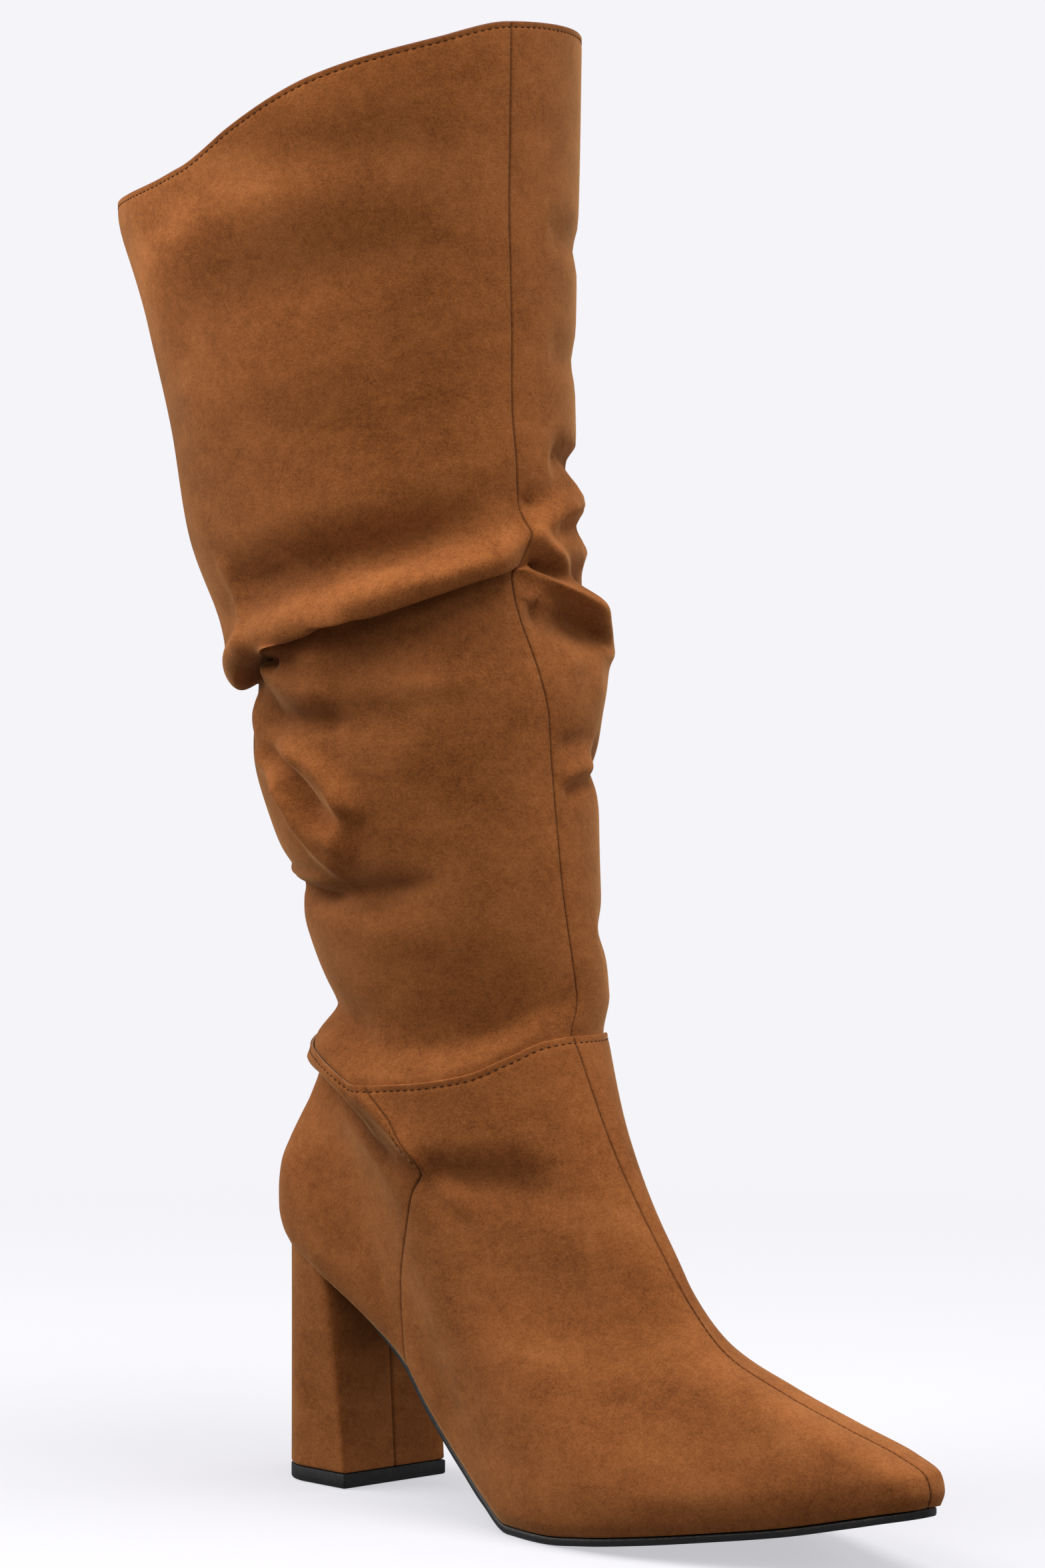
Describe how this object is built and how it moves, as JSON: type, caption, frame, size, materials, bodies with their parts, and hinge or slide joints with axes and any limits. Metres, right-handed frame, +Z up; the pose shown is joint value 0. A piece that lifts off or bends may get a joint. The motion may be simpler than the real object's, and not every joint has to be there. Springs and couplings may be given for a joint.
{
  "type": "slouch boot",
  "caption": "Knee-high slouch boot in tan suede, right foot, with a pointed toe, a slouched pull-on shaft and a covered block heel.",
  "frame": {"origin": "middle of the underside of the top lift, on the floor under the heel", "axes": "+Z up, +X along the foot to the toe, +Y to the inner side of the foot"},
  "size_m": [0.3241, 0.1259, 0.437],
  "materials": {
    "suede": "matt tan suede with a short nap",
    "insole_leather": "smooth matt tan leather",
    "black_rubber": "black, slightly glossy"
  },
  "bodies": {
    "root": {"top_lift": "black_rubber", "heel": "suede", "outsole": "black_rubber", "insole": "insole_leather", "upper": "suede", "shaft": "suede"}
  },
  "joints": []
}
